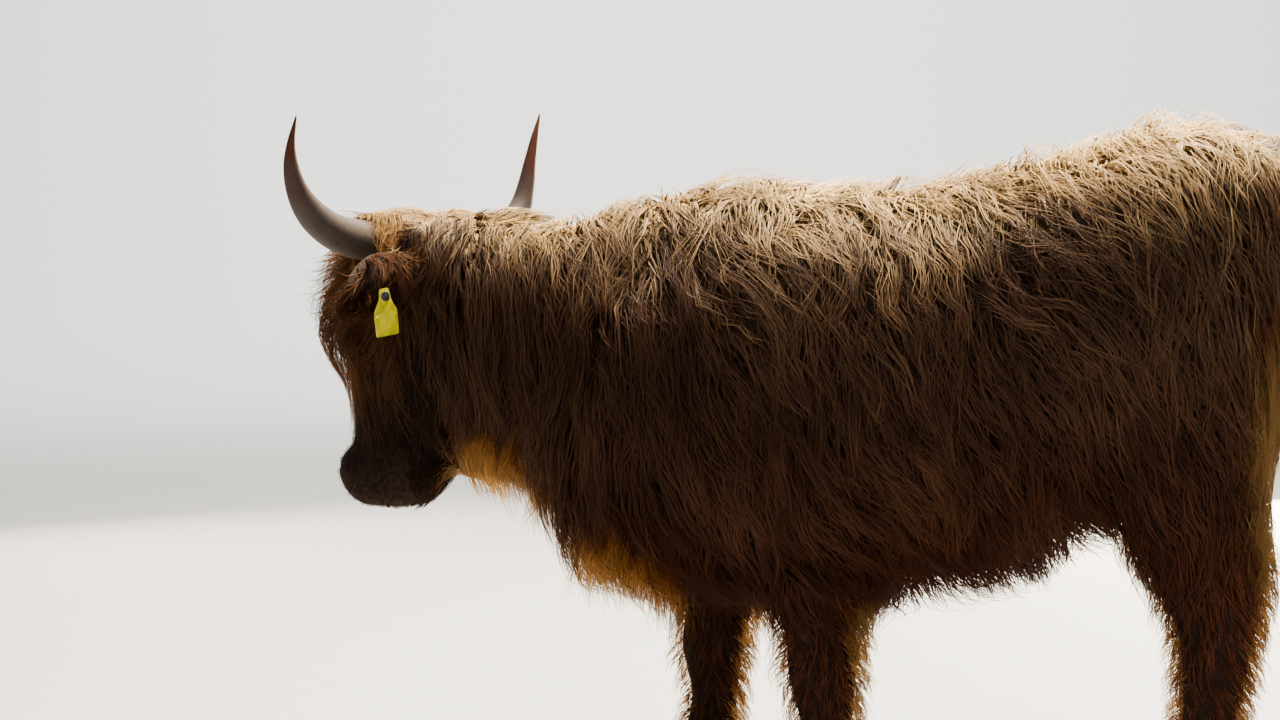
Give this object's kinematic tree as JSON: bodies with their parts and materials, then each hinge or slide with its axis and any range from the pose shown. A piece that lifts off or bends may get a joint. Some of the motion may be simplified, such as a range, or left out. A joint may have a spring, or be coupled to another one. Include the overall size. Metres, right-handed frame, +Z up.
{
  "type": "highland cow",
  "caption": "Life-size still highland cow with a lowered, turned head, long ginger coat, upswept horns and a yellow ear tag",
  "frame": {"origin": "centre of the bounding box on the floor under the claws", "axes": "-X towards the head, +X towards the tail, -Y towards the animal's left flank, +Z up"},
  "size_m": [1.8378, 0.7036, 1.1833],
  "materials": {
    "coat": "long ginger hair",
    "tail_hair": "long golden ginger hair",
    "horn": "smooth horn, grey at the root and red-brown at the tip",
    "claw": "dull horn",
    "eye": "wet gloss",
    "tag_flag": "satin moulded plastic",
    "tag_stud": "satin moulded plastic"
  },
  "bodies": {
    "root": {"head": "coat", "neck": "coat", "trunk": "coat", "tail": "tail_hair", "tail_switch": "tail_hair", "foreleg_left": "coat", "foreleg_right": "coat", "hindleg_left": "coat", "hindleg_right": "coat", "ear_left": "coat", "ear_right": "coat", "horn_left": "horn", "horn_right": "horn", "eye_left": "eye", "eye_right": "eye", "claw_outer_foreleg_left": "claw", "dewclaw_outer_foreleg_left": "claw", "claw_inner_foreleg_left": "claw", "dewclaw_inner_foreleg_left": "claw", "claw_outer_foreleg_right": "claw", "dewclaw_outer_foreleg_right": "claw", "claw_inner_foreleg_right": "claw", "dewclaw_inner_foreleg_right": "claw", "claw_outer_hindleg_left": "claw", "dewclaw_outer_hindleg_left": "claw", "claw_inner_hindleg_left": "claw", "dewclaw_inner_hindleg_left": "claw", "claw_outer_hindleg_right": "claw", "dewclaw_outer_hindleg_right": "claw", "claw_inner_hindleg_right": "claw", "dewclaw_inner_hindleg_right": "claw", "ear_tag_flag": "tag_flag", "ear_tag_stud": "tag_stud"}
  },
  "joints": []
}
